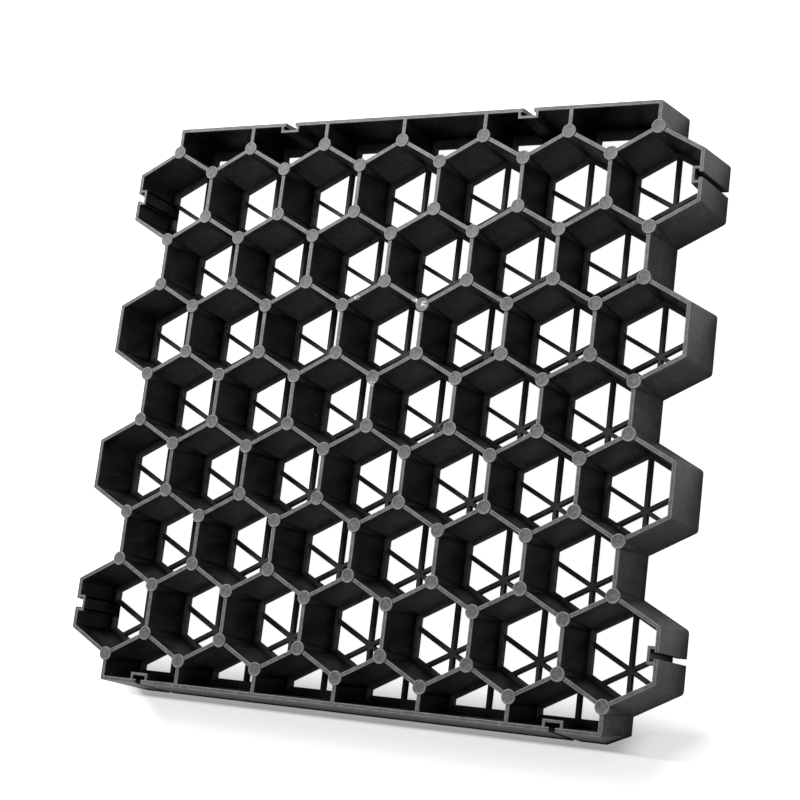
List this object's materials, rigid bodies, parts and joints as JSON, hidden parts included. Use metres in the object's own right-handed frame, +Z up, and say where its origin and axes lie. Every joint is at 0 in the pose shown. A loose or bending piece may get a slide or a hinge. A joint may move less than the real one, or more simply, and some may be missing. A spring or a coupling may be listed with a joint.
{
  "type": "grass paver grid",
  "caption": "Moulded plastic honeycomb panel with open cells, star-shaped base webs, round posts at the wall junctions and T-slots in the rim for joining to its neighbours.",
  "frame": {"origin": "middle of the flat base, on the ground plane", "axes": "+Z up towards the open face, +X along the rows of cells, +Y across the rows"},
  "size_m": [0.511, 0.4748, 0.05],
  "materials": {
    "black_plastic": "matte black moulded polyethylene with greyer, scuffed top edges"
  },
  "bodies": {
    "root": {"paver_grid": "black_plastic"}
  },
  "joints": []
}
